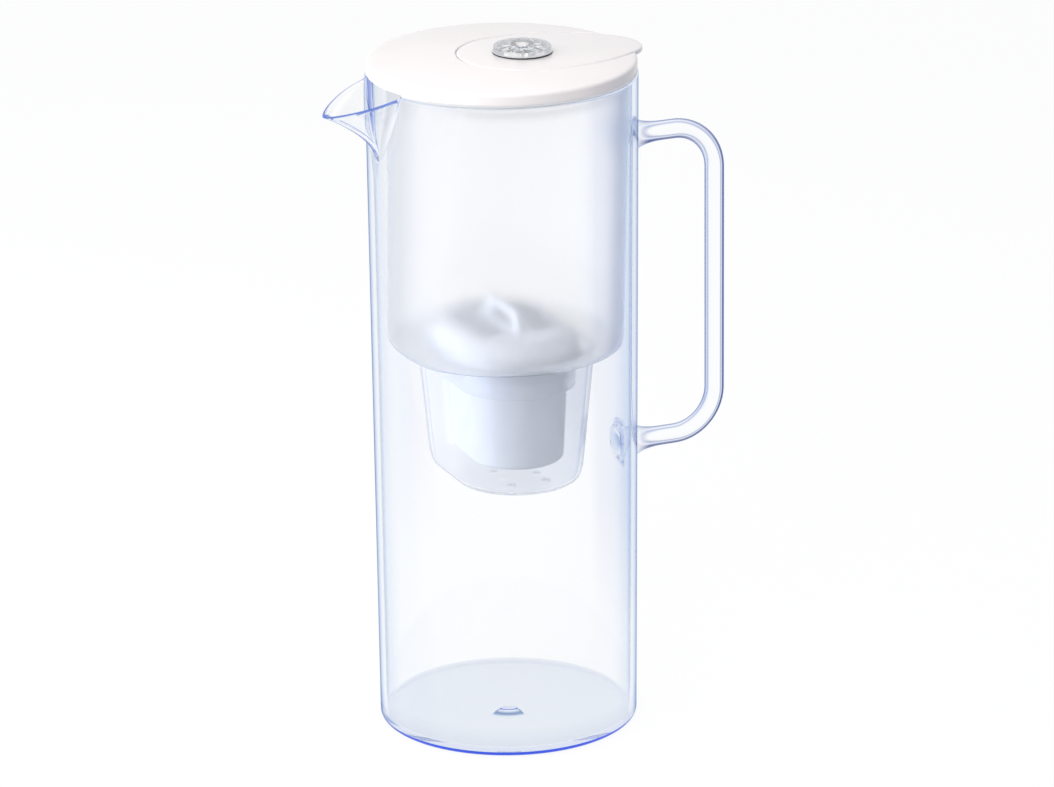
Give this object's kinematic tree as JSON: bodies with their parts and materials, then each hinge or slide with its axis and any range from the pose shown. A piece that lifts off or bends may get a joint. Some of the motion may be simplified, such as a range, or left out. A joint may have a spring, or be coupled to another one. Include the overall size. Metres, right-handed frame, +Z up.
{
  "type": "water filter pitcher",
  "caption": "Tall glass carafe with a pulled spout and rod handle, a frosted hopper with a filter cartridge in an oval cup, and a white lid with a tilting flap and a dial.",
  "frame": {"origin": "centre of the flat base that the jug stands on", "axes": "+X points from the middle of the jug to the handle, -X to the spout, +Z up"},
  "size_m": [0.1936, 0.12, 0.3114],
  "materials": {
    "clear_glass": "gloss",
    "frosted_plastic": "satin",
    "cartridge_plastic": "satin",
    "screen_cloth": "matte",
    "carbon": "matte",
    "resin": "matte",
    "soft_seal": "matte",
    "white_plastic": "gloss",
    "steel": "satin",
    "scale_print": "matte",
    "dial_white": "gloss",
    "clear_plastic": "gloss",
    "pale_pink": "gloss"
  },
  "bodies": {
    "jug": {"glass_jug": "clear_glass", "handle_rod": "clear_glass"},
    "hopper": {"hopper_shell": "frosted_plastic", "filter_cup": "frosted_plastic"},
    "cartridge": {"cartridge_case": "cartridge_plastic", "cartridge_cap": "cartridge_plastic", "inlet_screen": "screen_cloth", "carbon_bed": "carbon", "middle_felt": "screen_cloth", "resin_bed": "resin", "outlet_screen": "screen_cloth", "cartridge_seal": "soft_seal"},
    "lid": {"lid_cover": "white_plastic", "lid_liner": "white_plastic", "lid_seal": "soft_seal", "hinge_pins": "steel"},
    "flap": {"flap_cover": "white_plastic", "flap_liner": "white_plastic", "flap_seal": "soft_seal", "dial_scale": "scale_print", "detent_spring": "steel"},
    "dial": {"dial_cap": "clear_plastic", "dial_ring": "dial_white", "dial_hub": "pale_pink", "dial_clip": "steel"}
  },
  "joints": [
    {"name": "hopper_lift", "type": "slide", "parent": "jug", "child": "hopper", "axis": [0, 0, 1], "range_m": [0, 0.19]},
    {"name": "lid_lift", "type": "slide", "parent": "hopper", "child": "lid", "axis": [0, 0, 1], "range_m": [0, 0.06]},
    {"name": "cartridge_lift", "type": "slide", "parent": "hopper", "child": "cartridge", "axis": [0, 0, 1], "range_m": [0, 0.07]},
    {"name": "flap_tilt", "type": "hinge", "parent": "lid", "child": "flap", "pos_m": [0.01, 0, 0.3032], "axis": [0, -1, 0], "range_deg": [0, 75]},
    {"name": "dial_turn", "type": "hinge", "parent": "flap", "child": "dial", "pos_m": [0.01, 0, 0.308], "axis": [0, 0, 1], "continuous": true}
  ]
}
